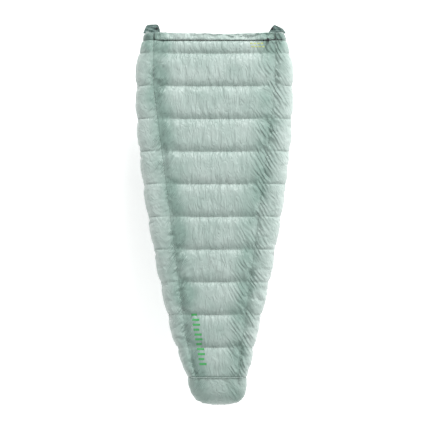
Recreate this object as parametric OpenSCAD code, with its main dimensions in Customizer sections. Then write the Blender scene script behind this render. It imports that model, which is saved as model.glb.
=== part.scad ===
// Camp quilt, lying face up with both sides tucked under.
// The foot end is at -Y, the neck at +Y, and the floor at Z = 0.
// Distances along the quilt are called s and are counted from the foot end.

/* [Body] */
// Length from the foot end to the neck edge
body_len = 1910; // [1850:10:1990]
// Width across the widest part, with the sides tucked under
shoulder_w = 818; // [780:2:880]
// Width of the footbox near the foot end
foot_w = 290; // [280:2:310]
// Distance the ears stand out past the neck edge
ear_len = 51; // [40:1:60]
// Width across the neck at the tips of the ears
ear_span = 704; // [690:2:720]

/* [Loft] */
// Height of the whole quilt as it lies
loft_h = 130; // [126:1:140]
// Depth of a seam below the crown of a chamber
seam_dip = 23; // [18:1:26]
// Distance from shell to lining along a seam
seam_loft = 25; // [22:1:27]
// Gap between the top layer and the tucked layer
inner_gap = 14; // [12:1:20]

/* [Chambers] */
// Length of the sloping foot end panel
foot_end_len = 148; // [140:1:155]
// Distance from the foot end to the first full cross seam
first_seam = 302; // [290:1:310]
// Number of full chambers from the first cross seam to the neck chamber
full_chambers = 9; // [8:1:10]
// Length of the short chamber next to the collar
neck_chamber_len = 66; // [60:1:75]
// Width of the collar tube
collar_len = 39; // [36:1:42]
// Number of cross seams that the closed footbox spans
footbox_seams = 3; // [3:1:4]

/* [Hardware] */
// Diameter of the drawcord
cord_d = 3; // [2.5:0.1:3.2]
// Outer diameter of the cord lock barrel
lock_d = 15; // [14:0.5:16]
// Height of the cord lock barrel
lock_h = 20; // [19:0.5:21]
// Travel of the cord lock button
button_travel = 3.5; // [3:0.1:3.6]
// Diameter of the snap caps
snap_d = 13; // [11:0.5:14]
// Clear width of a pad loop, along the edge
loop_w = 12; // [10:1:16]
// Clear depth of a pad loop, away from the edge
loop_depth = 5; // [4:0.5:7]

/* [Hidden] */

shell_color = [0.70, 0.78, 0.75];
lining_color = [0.40, 0.50, 0.48];
down_color = [0.93, 0.93, 0.90];
baffle_color = [0.85, 0.86, 0.84];
tape_color = [0.33, 0.42, 0.40];
black_color = [0.08, 0.09, 0.09];
steel_color = [0.75, 0.76, 0.78];

// Thickness of the fabric sheets and of the baffle walls
sheet_t = 1;
wall_t = 0.8;
// Wall of the hollow down fill, and its gaps to the sheets and to the seams
fill_wall = 4;
fill_gap = 2;
seam_gap = 0.8;

total_len = body_len + ear_len;
mid_z = loft_h / 2;
shoulder_half = shoulder_w / 2;
foot_half = foot_w / 2;
seam_z = loft_h - seam_dip;
lining_seam_z = seam_z - seam_loft;
lining_crown_z = mid_z + inner_gap / 2;

// Cross seams, from the ridge above the foot end panel to the collar seam
collar_seam = body_len - collar_len;
pitch = (collar_seam - neck_chamber_len - first_seam) / full_chambers;
seams = concat([foot_end_len], [for (k = [0:full_chambers]) first_seam + pitch * k], [collar_seam]);
top_seams = concat(seams, [body_len]);
mouth = seams[footbox_seams];
foot_seams = [for (k = [0:footbox_seams]) seams[k]];
// Each flap starts just past the footbox mouth and ends at its ear tab
mouth_gap = 10;
ear_tab_len = 36;
flap_end = total_len - ear_tab_len;
flap_seams = concat([mouth + mouth_gap], [for (s = seams) if (s > mouth) s], [flap_end]);

// Half width of the outline at s: a sine rise to the shoulders, then a fall to the ears
widest_s = 0.858 * body_len;
foot_round = 60;
rise_power = 1.12;
fall_power = 2.2;
function half_w(s) =
    let (
        rise = min(max((s - foot_round) / (widest_s - foot_round), 0), 1),
        fall = max((s - widest_s) / (total_len - widest_s), 0)
    )
    foot_half + (shoulder_half - foot_half) * pow(sin(90 * rise), rise_power)
        - (shoulder_half - ear_span / 2) * pow(fall, fall_power);

// Distance of the long seams from the middle: they spread from the foot, then run straight
long_seam_foot = 100;
long_seam_slope = 0.13;
long_seam_max = 312;
function long_seam(s) = min(long_seam_foot + long_seam_slope * s, long_seam_max);

// Line where the tucked layer bends: it follows the outline under the footbox, then runs straight
fold_in_foot = 52;
fold_in_neck = 42;
fold_foot = half_w(mouth) - fold_in_foot;
fold_neck = half_w(body_len) - fold_in_neck;
function fold_line(s) =
    s < mouth ? half_w(s) - fold_in_foot
              : fold_foot + (fold_neck - fold_foot) * (s - mouth) / (body_len - mouth);

// Free edge of a flap: it leaves the middle at the mouth and ends under the ear
edge_start = mouth - 36;
edge_head = 282;
edge_power = 0.9;
function free_edge(s) =
    edge_head * pow(sin(90 * min((s - edge_start) / (total_len - 20 - edge_start), 1)), edge_power);

// Chambers shorter than this puff up less than the full ones
full_puff_len = 120;
function puff(a, b) = min(1, (b - a) / full_puff_len);

// Stations along a run of chambers, each as [s, how far the chamber is puffed up]
shoulder_t = 0.28;
function chamber(a, b, gap) =
    let (len = b - a, p = puff(a, b))
    [[a + gap, 0], [a + shoulder_t * len, p], [b - shoulder_t * len, p], [b - gap, 0]];
function run(list) = concat(
    [for (k = [0:len(list) - 2]) for (t = [0:2]) chamber(list[k], list[k + 1], 0)[t]],
    [[list[len(list) - 1], 0]]
);
function trimmed(stations, gap) =
    let (last = len(stations) - 1)
    [for (i = [0:last]) [stations[i][0] + (i == 0 ? gap : i == last ? -gap : 0), stations[i][1]]];

// Points moved from one path towards its partner path by a given depth
function at_depth(from, to, d) =
    [for (i = [0:len(from) - 1]) from[i] + (to[i] - from[i]) * d / norm(to[i] - from[i])];
function reversed(list) = [for (i = [len(list) - 1:-1:0]) list[i]];
// Closed ring between two depths of a section, which is [outer path, inner path]
function shell_ring(sec) = concat(sec[0], reversed(at_depth(sec[0], sec[1], sheet_t)));
function lining_ring(sec) = concat(at_depth(sec[1], sec[0], sheet_t), reversed(sec[1]));
function fill_ring(sec, d) = concat(at_depth(sec[0], sec[1], d), reversed(at_depth(sec[1], sec[0], d)));

// Section of the centre panel: crowned between the long seams
centre_us = [-1, -0.6, 0, 0.6, 1];
centre_power = 3;
function centre_section(s, c, inset) =
    let (half = long_seam(s) - inset)
    [
        [for (u = centre_us) [u * half, seam_z + seam_dip * c * (1 - pow(abs(u), centre_power))]],
        [for (u = centre_us)
            [u * half, lining_seam_z
                - (lining_seam_z - lining_crown_z) * c * (1 - pow(abs(u), centre_power))]]
    ];

// Section of the right side panel: from the long seam over the rolled edge and back to the fold line
edge_notch = 7;
roll_max = 65;
roll_flat = 17;
roll_angle = 50;
fold_clear = 16;
edge_loft_max = 40;
fold_seam_low = 14;
fold_seam_high = 46;
function side_section(s, c, inset) =
    let (
        pinch = 1 - c,
        edge = half_w(s) - edge_notch * pinch,
        fold = fold_line(s) + inset,
        seam = long_seam(s) + inset,
        rx = min(roll_max, half_w(s) - fold_line(s) - fold_clear, half_w(s) - long_seam(s) - fold_clear),
        rz = mid_z - roll_flat * pinch,
        roll_x = edge - rx,
        in_edge = edge - min(edge_loft_max, half_w(s) - fold_line(s) - fold_clear - 6),
        in_roll_x = min(roll_x, in_edge - 6),
        rise_x = (seam * 3 + roll_x * 2) / 5,
        low_z = s < mouth ? 0 : fold_seam_low,
        in_z = inner_gap / 2 + 8 * pinch
    )
    [
        [
            [seam, seam_z],
            [rise_x, seam_z + 0.75 * (mid_z + rz - seam_z)],
            [roll_x, mid_z + rz],
            [roll_x + rx * sin(roll_angle), mid_z + rz * cos(roll_angle)],
            [edge, mid_z],
            [roll_x + rx * sin(roll_angle), mid_z - rz * cos(roll_angle)],
            [roll_x, mid_z - rz],
            [fold, low_z]
        ],
        [
            [seam, lining_seam_z],
            [min(rise_x, in_roll_x - 1), mid_z + in_z],
            [in_roll_x, mid_z + in_z],
            [in_edge - 3, mid_z + inner_gap / 2 - 2],
            [in_edge, mid_z],
            [in_edge - 3, mid_z - inner_gap / 2 + 2],
            [in_roll_x, mid_z - in_z],
            [fold, fold_seam_high]
        ]
    ];

// Section of the right flap: from the fold line to its thin free edge, with the outside facing down
flap_ramp = 0.3;
edge_low = 26;
edge_high = 32;
seam_low = 12;
function flap_section(s, c, inset, edge_inset) =
    let (
        fold = fold_line(s),
        width = fold - free_edge(s),
        low = seam_low * (1 - c),
        high = mid_z - inner_gap / 2 - 10 * (1 - c),
        xs = [inset, flap_ramp * width, (1 - flap_ramp) * width, width - edge_inset],
        near = [for (x = xs) max(0, 1 - x / (flap_ramp * width))],
        far = [for (x = xs) max(0, 1 - (width - x) / (flap_ramp * width))]
    )
    [
        [for (i = [0:3])
            [fold - xs[i], low + (fold_seam_low - low) * near[i] + (edge_low - low) * far[i]]],
        [for (i = [0:3])
            [fold - xs[i], high + (fold_seam_high - high) * near[i] + (edge_high - high) * far[i]]]
    ];

// Section of the footbox underside: flat on the floor, crowned inside
under_seam_z = 30;
function under_section(s, c, inset) =
    let (half = fold_line(s) - inset, top = mid_z - inner_gap / 2)
    [
        [for (u = centre_us)
            [u * half, under_seam_z + (top - 12 * pow(abs(u), 4) - under_seam_z) * c]],
        [for (u = centre_us) [u * half, 0]]
    ];

// Moves a length s to its place along Y
function y_of(s) = s - total_len / 2;

// Solid through a row of closed rings of [x, z] points, one ring at each station
module loft(rings, stations) {
    n = len(rings[0]);
    last = len(rings) - 1;
    points = [for (i = [0:last]) for (p = rings[i]) [p[0], y_of(stations[i][0]), p[1]]];
    walls = [
        for (i = [0:last - 1]) for (j = [0:n - 1])
        let (a = i * n + j, b = a + n, d = i * n + (j + 1) % n, c = d + n)
        each j < n / 2 ? [[a, b, c], [a, c, d]] : [[a, b, d], [b, c, d]]
    ];
    // Each end is closed by a strip between the two halves of its ring
    first_cap = [
        for (j = [0:n / 2 - 2]) let (a = j, b = j + 1, c = n - 2 - j, d = n - 1 - j)
        each [[a, b, c], [a, c, d]]
    ];
    last_cap = [for (f = first_cap) [for (p = reversed(f)) last * n + p]];
    polyhedron(points, concat(first_cap, walls, last_cap));
}

// Sleeve between two rows of rings with the same number of points, open at both ends
module sleeve(outer_rings, inner_rings, stations) {
    n = len(outer_rings[0]);
    last = len(stations) - 1;
    inner_start = n * (last + 1);
    points = concat(
        [for (i = [0:last]) for (p = outer_rings[i]) [p[0], y_of(stations[i][0]), p[1]]],
        [for (i = [0:last]) for (p = inner_rings[i]) [p[0], y_of(stations[i][0]), p[1]]]
    );
    outer_walls = [
        for (i = [0:last - 1]) for (j = [0:n - 1])
        let (a = i * n + j, b = a + n, d = i * n + (j + 1) % n, c = d + n)
        each j < n / 2 ? [[a, b, c], [a, c, d]] : [[a, b, d], [b, c, d]]
    ];
    inner_walls = [for (f = outer_walls) [for (p = reversed(f)) inner_start + p]];
    first_rim = [
        for (j = [0:n - 1]) let (a = j, b = (j + 1) % n)
        each [[a, b, inner_start + b], [a, inner_start + b, inner_start + a]]
    ];
    last_rim = [for (f = first_rim) [for (p = reversed(f)) last * n + p]];
    polyhedron(points, concat(outer_walls, inner_walls, first_rim, last_rim));
}

// Thin wall across the quilt at s, in the shape of a ring
module cross_wall(ring, s) {
    translate([0, y_of(s) + wall_t / 2, 0])
        rotate([90, 0, 0])
            linear_extrude(wall_t)
                polygon(ring);
}

// Upright strip that follows a line [x, s]
module upright_strip(line, thickness, low, high) {
    translate([0, 0, low])
        linear_extrude(high - low)
            polygon(concat(
                [for (p = line) [p[0] - thickness / 2, y_of(p[1])]],
                reversed([for (p = line) [p[0] + thickness / 2, y_of(p[1])]])
            ));
}

module left() mirror([1, 0, 0]) children();

// ---- Top layer ----

module top_shell_centre() {
    stations = trimmed(run(seams), seam_gap);
    color(shell_color)
        loft([for (t = stations) shell_ring(centre_section(t[0], t[1], seam_gap))], stations);
}

module lining_centre() {
    stations = trimmed(run(seams), seam_gap);
    color(lining_color)
        loft([for (t = stations) lining_ring(centre_section(t[0], t[1], seam_gap))], stations);
}

module side_shell() {
    stations = trimmed(run(top_seams), seam_gap);
    color(shell_color)
        loft([for (t = stations) shell_ring(side_section(t[0], t[1], seam_gap))], stations);
}
module top_shell_right() side_shell();
module top_shell_left() left() side_shell();

module side_lining() {
    stations = trimmed(run(top_seams), seam_gap);
    color(lining_color)
        loft([for (t = stations) lining_ring(side_section(t[0], t[1], seam_gap))], stations);
}
module lining_right() side_lining();
module lining_left() left() side_lining();

// Gap between a fill and the walls at its ends; a fill is a sleeve that is open at both ends
end_gap = 2;
wall_gap = 4;
void_depth = fill_gap + fill_wall;
void_gap = end_gap + fill_wall;

module down_centre() {
    color(down_color)
        for (k = [0:len(seams) - 2]) {
            end = k == len(seams) - 2 ? seams[k + 1] - channel_w / 2 : seams[k + 1];
            stations = chamber(seams[k], end, end_gap);
            sleeve(
                [for (t = stations) fill_ring(centre_section(t[0], t[1], end_gap), fill_gap)],
                [for (t = stations) fill_ring(centre_section(t[0], t[1], void_gap), void_depth)],
                stations
            );
        }
}

module side_down() {
    color(down_color)
        for (k = [0:len(top_seams) - 2]) {
            stations = chamber(top_seams[k], top_seams[k + 1], end_gap);
            sleeve(
                [for (t = stations) fill_ring(side_section(t[0], t[1], end_gap), fill_gap)],
                [for (t = stations) fill_ring(side_section(t[0], t[1], void_gap), void_depth)],
                stations
            );
        }
}
module down_right() side_down();
module down_left() left() side_down();

module cross_baffles_centre() {
    color(baffle_color)
        for (k = [1:len(seams) - 2])
            cross_wall(fill_ring(centre_section(seams[k], 0, end_gap), wall_gap), seams[k]);
}

module side_baffles() {
    color(baffle_color)
        for (k = [1:len(top_seams) - 2])
            cross_wall(fill_ring(side_section(top_seams[k], 0, end_gap), wall_gap), top_seams[k]);
}
module cross_baffles_right() side_baffles();
module cross_baffles_left() left() side_baffles();

module long_baffle() {
    line = [for (t = trimmed(run(seams), void_gap)) [long_seam(t[0]), t[0]]];
    color(baffle_color)
        upright_strip(line, wall_t, lining_seam_z + fill_gap, seam_z - fill_gap);
}
module long_baffle_right() long_baffle();
module long_baffle_left() left() long_baffle();

// ---- Footbox ----

module footbox_under_shell() {
    line = [for (t = trimmed(run(foot_seams), seam_gap)) [fold_line(t[0]) - seam_gap, y_of(t[0])]];
    color(shell_color)
        linear_extrude(sheet_t)
            polygon(concat(line, reversed([for (p = line) [-p[0], p[1]]])));
}

module footbox_under_lining() {
    stations = trimmed(run(foot_seams), seam_gap);
    color(lining_color)
        loft([for (t = stations) shell_ring(under_section(t[0], t[1], seam_gap))], stations);
}

module footbox_under_down() {
    color(down_color)
        for (k = [0:footbox_seams - 1]) {
            stations = chamber(seams[k], seams[k + 1], end_gap);
            sleeve(
                [for (t = stations) fill_ring(under_section(t[0], t[1], end_gap), fill_gap)],
                [for (t = stations) fill_ring(under_section(t[0], t[1], void_gap), void_depth)],
                stations
            );
        }
}

module footbox_under_baffles() {
    color(baffle_color)
        for (k = [1:footbox_seams - 1])
            cross_wall(fill_ring(under_section(seams[k], 0, end_gap), wall_gap), seams[k]);
}

// Closed cap of the foot end, inset by d, with rings that shrink towards the toe
cap_points = 16;
cap_square = 0.7;
toe_half = 100;
toe_low = 14;
toe_high = 46;
function cap_ring(half, low, high) =
    [for (i = [0:cap_points - 1])
        let (a = 180 - i * 360 / cap_points, cx = cos(a), sz = sin(a))
        [half * sign(cx) * pow(abs(cx), cap_square),
         (low + high) / 2 + (high - low) / 2 * sign(sz) * pow(abs(sz), cap_square)]];
module foot_cap(d, open_len) {
    base = half_w(foot_end_len) - 3;
    stations = [[d, 0], [22 + d / 2, 0], [70, 0], [foot_end_len - 1 + open_len, 0]];
    loft([
        cap_ring(toe_half - d, toe_low + d * 0.7, toe_high - d * 0.7),
        cap_ring(foot_half - 21 - d, 4 + d, 82 - d),
        cap_ring(foot_half + 3 - d, d, 112 - d),
        cap_ring(base - d, d, loft_h - 3 - d)
    ], stations);
}

module foot_end_shell() {
    color(shell_color)
        difference() {
            foot_cap(0, 0);
            foot_cap(sheet_t, 1);
        }
}

module foot_end_down() {
    color(down_color)
        difference() {
            foot_cap(2, 0);
            foot_cap(12, 1);
        }
}

module foot_end_lining() {
    color(lining_color)
        difference() {
            foot_cap(14, 0);
            foot_cap(15, 1);
        }
}

// Folded tape over the open edge of the footbox underside
module mouth_binding() {
    high = under_seam_z + 2;
    reach = 5;
    half = fold_line(mouth) - 4;
    color(tape_color)
        translate([-half, y_of(mouth), 0])
            rotate([90, 0, 90])
                linear_extrude(2 * half)
                    polygon([[0.6, 2], [reach, 2], [reach, high], [0.6, high],
                             [0.6, high - 1.2], [reach - 1.2, high - 1.2], [reach - 1.2, 3.2], [0.6, 3.2]]);
}

// ---- Collar and drawcord ----

// Channel of the drawcord, under the collar seam
channel_w = 8;
channel_h = 10;
channel_wall = 0.8;
channel_low = seam_z - 15;
channel_half = long_seam_max - 6;
cord_y = y_of(collar_seam + 1);
cord_low_z = channel_low + channel_h / 2;
cord_high_z = seam_z + 14;
cord_exit_x = 250;
cord_start_x = -channel_half + 6;
cord_end_x = 342;

// Profile of the collar tube, as [s past the collar seam, z]
collar_half = long_seam_max - 1;
collar_top = seam_z + 3;
collar_start = 6;
function collar_profile(d) = [
    [collar_start + d, seam_z - 1 - d], [10, collar_top - d], [collar_len - 12, collar_top - d],
    [collar_len - 3 - d, seam_z - 7], [collar_len - 1 - d, seam_z - 16], [collar_len - 3 - d, seam_z - 25],
    [collar_len - 12, lining_crown_z + 1 + d], [10, lining_crown_z + 1 + d],
    [collar_start + d, lining_seam_z + d]
];
module collar_tube(d, half) {
    translate([-half, y_of(collar_seam), 0])
        rotate([90, 0, 90])
            linear_extrude(2 * half)
                polygon(collar_profile(d));
}

module collar_shell() {
    color(shell_color)
        difference() {
            collar_tube(0, collar_half);
            collar_tube(sheet_t, collar_half + 1);
        }
}

module collar_down() {
    color(down_color)
        difference() {
            collar_tube(sheet_t + fill_gap + 2, collar_half - 4);
            collar_tube(sheet_t + fill_gap + 6, collar_half - 8);
        }
}

module drawcord_channel() {
    inner_w = channel_w - 2 * channel_wall;
    color(tape_color)
        difference() {
            translate([-channel_half, cord_y - channel_w / 2, channel_low])
                cube([2 * channel_half, channel_w, channel_h]);
            translate([-channel_half - 1, cord_y - inner_w / 2, channel_low + channel_wall])
                cube([2 * channel_half + 2, inner_w, channel_h - 2 * channel_wall]);
            translate([cord_exit_x, cord_y, channel_low + channel_h / 2])
                cylinder(d = cord_d + 2, h = channel_h, $fn = 32);
        }
}

module cord_run(from_x, to_x, z) {
    translate([from_x, cord_y, z])
        rotate([0, 90, 0])
            cylinder(d = cord_d, h = to_x - from_x, $fn = 32);
}

module neck_drawcord() {
    bend_d = cord_d + 0.2;
    knot_d = 7;
    color(black_color)
        union() {
            cord_run(cord_start_x, cord_exit_x, cord_low_z);
            translate([cord_exit_x, cord_y, cord_low_z])
                cylinder(d = cord_d, h = cord_high_z - cord_low_z, $fn = 32);
            cord_run(cord_exit_x, cord_end_x, cord_high_z);
            for (z = [cord_low_z, cord_high_z])
                translate([cord_exit_x, cord_y, z])
                    sphere(d = bend_d, $fn = 32);
            translate([cord_end_x, cord_y, cord_high_z])
                sphere(d = knot_d, $fn = 32);
        }
}

module cord_eyelet() {
    eyelet_d = 9;
    eyelet_t = 1.2;
    color(black_color)
        translate([cord_exit_x, cord_y, seam_z + 1.5])
            difference() {
                cylinder(d = eyelet_d, h = eyelet_t, $fn = 48);
                translate([0, 0, -1])
                    cylinder(d = cord_d + 1.4, h = eyelet_t + 2, $fn = 48);
            }
}

// ---- Cord lock ----

lock_x = 272;
lock_wall = 1.5;
lock_low = seam_z + 4;
lock_bore = lock_d - 2 * lock_wall;
cord_hole = cord_d + 1.6;
button_d = lock_bore - 0.4;
button_low = cord_high_z - cord_hole / 2 - 1.5;
button_high = lock_low + lock_h + button_travel + 1.5;

module at_lock() translate([lock_x, cord_y, 0]) children();

module cord_lock_barrel() {
    color(black_color)
        at_lock()
            difference() {
                translate([0, 0, lock_low])
                    cylinder(d = lock_d, h = lock_h, $fn = 64);
                translate([0, 0, lock_low + lock_wall])
                    cylinder(d = lock_bore, h = lock_h, $fn = 64);
                translate([-lock_d, 0, cord_high_z])
                    rotate([0, 90, 0])
                        cylinder(d = cord_hole, h = 2 * lock_d, $fn = 32);
            }
}

module cord_lock_button() {
    color(black_color)
        at_lock()
            difference() {
                translate([0, 0, button_low])
                    cylinder(d = button_d, h = button_high - button_low, $fn = 64);
                for (z = [cord_high_z, cord_high_z + button_travel])
                    translate([-lock_d, 0, z])
                        rotate([0, 90, 0])
                            cylinder(d = cord_hole, h = 2 * lock_d, $fn = 32);
                translate([-lock_d, -cord_hole / 2, cord_high_z])
                    cube([2 * lock_d, cord_hole, button_travel]);
            }
}

// Coil of round wire under the button
module cord_lock_spring() {
    wire_d = 0.7;
    coil_r = lock_bore / 2 - 1.2;
    turns = 2.5;
    steps_per_turn = 12;
    wire_sides = 6;
    low = lock_low + lock_wall + wire_d / 2 + 0.1;
    high = button_low - wire_d / 2 - 0.1;
    steps = turns * steps_per_turn;
    points = [
        for (i = [0:steps]) for (j = [0:wire_sides - 1])
        let (a = 360 * i / steps_per_turn, b = 360 * j / wire_sides, r = coil_r + wire_d / 2 * cos(b))
        [r * cos(a), r * sin(a), low + (high - low) * i / steps + wire_d / 2 * sin(b)]
    ];
    walls = [
        for (i = [0:steps - 1]) for (j = [0:wire_sides - 1])
        let (a = i * wire_sides + j, d = i * wire_sides + (j + 1) % wire_sides)
        [a, a + wire_sides, d + wire_sides, d]
    ];
    first_cap = [for (j = [0:wire_sides - 1]) j];
    last_cap = [for (j = [wire_sides - 1:-1:0]) steps * wire_sides + j];
    color(steel_color)
        at_lock()
            polyhedron(points, concat([first_cap], walls, [last_cap]));
}

// ---- Flaps ----

fold_gap = 1.5;
edge_gap = 0.5;

module flap_shell() {
    stations = run(flap_seams);
    color(shell_color)
        loft([for (t = stations) shell_ring(flap_section(t[0], t[1], fold_gap, edge_gap))], stations);
}
module flap_shell_right() flap_shell();
module flap_shell_left() left() flap_shell();

module flap_lining() {
    stations = run(flap_seams);
    color(lining_color)
        loft([for (t = stations) lining_ring(flap_section(t[0], t[1], fold_gap, edge_gap))], stations);
}
module flap_lining_right() flap_lining();
module flap_lining_left() left() flap_lining();

// The fill keeps clear of the thin edge, and its hollow more so where the flap is wide
flap_edge_in = 6;
flap_fill_gap = 4;
function void_edge(s) = 7 + 0.11 * (fold_line(s) - free_edge(s));

module flap_down() {
    color(down_color)
        for (k = [0:len(flap_seams) - 2]) {
            stations = chamber(flap_seams[k], flap_seams[k + 1], end_gap);
            sleeve(
                [for (t = stations)
                    fill_ring(flap_section(t[0], t[1], fold_gap + 2, flap_edge_in), flap_fill_gap)],
                [for (t = stations)
                    fill_ring(flap_section(t[0], t[1], fold_gap + 2 + fill_wall, void_edge(t[0])),
                              flap_fill_gap + fill_wall)],
                stations
            );
        }
}
module flap_down_right() flap_down();
module flap_down_left() left() flap_down();

module flap_baffles() {
    color(baffle_color)
        for (s = [for (k = [1:len(flap_seams) - 2]) flap_seams[k]])
            cross_wall(fill_ring(flap_section(s, 0, fold_gap + 2, flap_edge_in), wall_gap), s);
}
module flap_baffles_right() flap_baffles();
module flap_baffles_left() left() flap_baffles();

// Tape that closes the free edge, just inside of it
binding_t = 3;
binding_low = 24;
binding_high = 34;
module flap_binding() {
    line = [for (t = run(flap_seams)) [free_edge(t[0]) - binding_t / 2, t[0]]];
    color(tape_color)
        upright_strip(line, binding_t - 0.4, binding_low, binding_high);
}
module flap_binding_right() flap_binding();
module flap_binding_left() left() flap_binding();

// Sewn loops that take the straps of a sleeping pad
loop_count = 4;
loop_t = 2;
module pad_loops() {
    first = mouth + 90;
    step = (collar_seam - 130 - first) / (loop_count - 1);
    line = [for (t = run(flap_seams)) [t[0], free_edge(t[0])]];
    reach = loop_depth + 2 * loop_t;
    half = loop_w / 2 + loop_t;
    color(black_color)
        for (i = [0:loop_count - 1])
            let (s = first + i * step, edge = min(lookup(s - half, line), lookup(s + half, line)))
                translate([edge - binding_t - 0.5 - reach, y_of(s), binding_low])
                    difference() {
                        translate([0, -half, 0])
                            cube([reach, 2 * half, binding_high - binding_low]);
                        translate([loop_t, -loop_w / 2, -1])
                            cube([loop_depth, loop_w, binding_high - binding_low + 2]);
                    }
}
module pad_loops_right() pad_loops();
module pad_loops_left() left() pad_loops();

// Doubled hem past the end of each flap, with one half of the neck snap set in its inner corner
ear_tab_t = 2.4;
ear_tab_low = 30;
snap_x = 298;
snap_s = total_len - 22;
post_d = 3.6;
post_clear = 0.2;
module at_snap() translate([snap_x, y_of(snap_s), 0]) children();

module ear_tab() {
    low_x = edge_head + 3;
    start = flap_end + 1;
    corner = 8;
    color(lining_color)
        difference() {
            translate([0, 0, ear_tab_low])
                linear_extrude(ear_tab_t)
                    polygon([
                        [low_x, y_of(start)], [fold_line(start) - fold_gap, y_of(start)],
                        [fold_line(total_len) - fold_gap, y_of(total_len) - corner],
                        [fold_line(total_len) - fold_gap - corner, y_of(total_len)],
                        [low_x + corner, y_of(total_len)], [low_x, y_of(total_len) - corner]
                    ]);
            at_snap()
                translate([0, 0, ear_tab_low - 1])
                    cylinder(d = post_d + 2 * post_clear, h = ear_tab_t + 2, $fn = 32);
        }
}
module ear_tab_right() ear_tab();
module ear_tab_left() left() ear_tab();

module snap_cap() {
    cap_t = 2.2;
    color(black_color)
        at_snap() {
            translate([0, 0, ear_tab_low + ear_tab_t + 0.1])
                rotate_extrude($fn = 64)
                    polygon([[0, 0], [snap_d / 2, 0], [snap_d / 2, 0.8], [snap_d / 2 - 1, cap_t - 0.4],
                             [snap_d / 2 - 2.5, cap_t], [0, cap_t]]);
            translate([0, 0, ear_tab_low - 1.2])
                cylinder(d = post_d, h = ear_tab_t + 1.6, $fn = 32);
        }
}
module snap_cap_right() snap_cap();
module snap_cap_left() left() snap_cap();

// Ring under the tab, around the post
module snap_ring(boss_d, boss_bore) {
    flange_t = 1.5;
    boss_h = 3;
    color(black_color)
        at_snap()
            translate([0, 0, ear_tab_low - 0.1])
                difference() {
                    union() {
                        translate([0, 0, -flange_t])
                            cylinder(d = snap_d - 1, h = flange_t, $fn = 64);
                        translate([0, 0, -flange_t - boss_h])
                            cylinder(d = boss_d, h = boss_h + 0.5, $fn = 64);
                    }
                    translate([0, 0, -flange_t - boss_h - 1])
                        cylinder(d = boss_bore, h = boss_h + 1, $fn = 48);
                    translate([0, 0, -flange_t - 1])
                        cylinder(d = post_d + 2 * post_clear, h = flange_t + 2, $fn = 32);
                }
}
module snap_stud_left() left() snap_ring(6, post_d + 2 * post_clear);
module snap_socket_right() snap_ring(snap_d - 2, 6.2);

top_shell_centre();
top_shell_left();
top_shell_right();
lining_centre();
lining_left();
lining_right();
down_centre();
down_left();
down_right();
cross_baffles_centre();
cross_baffles_left();
cross_baffles_right();
long_baffle_left();
long_baffle_right();
footbox_under_shell();
footbox_under_lining();
footbox_under_down();
footbox_under_baffles();
foot_end_shell();
foot_end_lining();
foot_end_down();
mouth_binding();
collar_shell();
collar_down();
drawcord_channel();
neck_drawcord();
cord_eyelet();
cord_lock_barrel();
cord_lock_spring();
cord_lock_button();
flap_shell_left();
flap_shell_right();
flap_lining_left();
flap_lining_right();
flap_down_left();
flap_down_right();
flap_baffles_left();
flap_baffles_right();
flap_binding_left();
flap_binding_right();
pad_loops_left();
pad_loops_right();
ear_tab_left();
ear_tab_right();
snap_cap_left();
snap_cap_right();
snap_stud_left();
snap_socket_right();
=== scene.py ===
"""A down camp quilt, lying with its outer shell up: sewn chambers, two tucked flaps and a collar."""
import math
from functools import partial

import bpy
import numpy as np
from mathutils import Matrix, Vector


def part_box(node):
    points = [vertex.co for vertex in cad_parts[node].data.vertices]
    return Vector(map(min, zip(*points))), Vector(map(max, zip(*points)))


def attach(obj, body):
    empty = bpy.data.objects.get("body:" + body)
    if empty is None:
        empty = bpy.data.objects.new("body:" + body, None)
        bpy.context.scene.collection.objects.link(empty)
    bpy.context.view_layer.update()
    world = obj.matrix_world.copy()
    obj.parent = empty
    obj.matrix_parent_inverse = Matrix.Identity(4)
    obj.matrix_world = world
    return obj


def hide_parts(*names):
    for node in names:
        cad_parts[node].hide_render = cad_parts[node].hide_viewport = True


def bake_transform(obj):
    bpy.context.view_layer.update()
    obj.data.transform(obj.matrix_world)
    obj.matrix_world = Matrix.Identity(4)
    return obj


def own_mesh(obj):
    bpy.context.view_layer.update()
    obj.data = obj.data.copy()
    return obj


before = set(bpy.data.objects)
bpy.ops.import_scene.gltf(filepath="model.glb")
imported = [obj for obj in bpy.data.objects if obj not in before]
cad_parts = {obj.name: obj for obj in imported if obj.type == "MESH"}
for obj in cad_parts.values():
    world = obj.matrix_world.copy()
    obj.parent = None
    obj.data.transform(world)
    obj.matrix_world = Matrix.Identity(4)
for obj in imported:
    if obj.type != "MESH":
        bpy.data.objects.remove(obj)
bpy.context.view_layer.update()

# Spacing of the cloth grids and thickness of a sheet, in metres
SHELL_GRID = 0.0065
LINING_GRID = 0.010
FLAP_GRID = 0.008
SHEET_T = 0.0007

# Lengths of cloth from the middle to the long seam and from there to the fold line, as counts of grid cells
CENTRE_CELLS = round(0.311 / SHELL_GRID)
SIDE_CELLS = round(0.30 / SHELL_GRID)
LINING_CENTRE = round(0.311 / LINING_GRID)
LINING_SIDE = round(0.10 / LINING_GRID)
SHELL_COLUMNS = [0, SIDE_CELLS, SIDE_CELLS + 2 * CENTRE_CELLS, 2 * (SIDE_CELLS + CENTRE_CELLS)]
LINING_COLUMNS = [0, LINING_SIDE, LINING_SIDE + 2 * LINING_CENTRE, 2 * (LINING_SIDE + LINING_CENTRE)]
LEFT, RIGHT = SHELL_COLUMNS[1:3]

# Heights of the quilt's layers above its underside, of cloth that rests on it, and of the floor, in metres
MID_Z = 0.065
SEAM_Z = 0.104
CROWN_RISE = 0.026
LINING_SEAM_Z = 0.082
LINING_CROWN_Z = 0.073
FOLD_LOW_Z = 0.014
FOLD_HIGH_Z = 0.046
EDGE_Z = 0.029
REST_Z = 0.001
FLOOR_Z = -0.25

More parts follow.
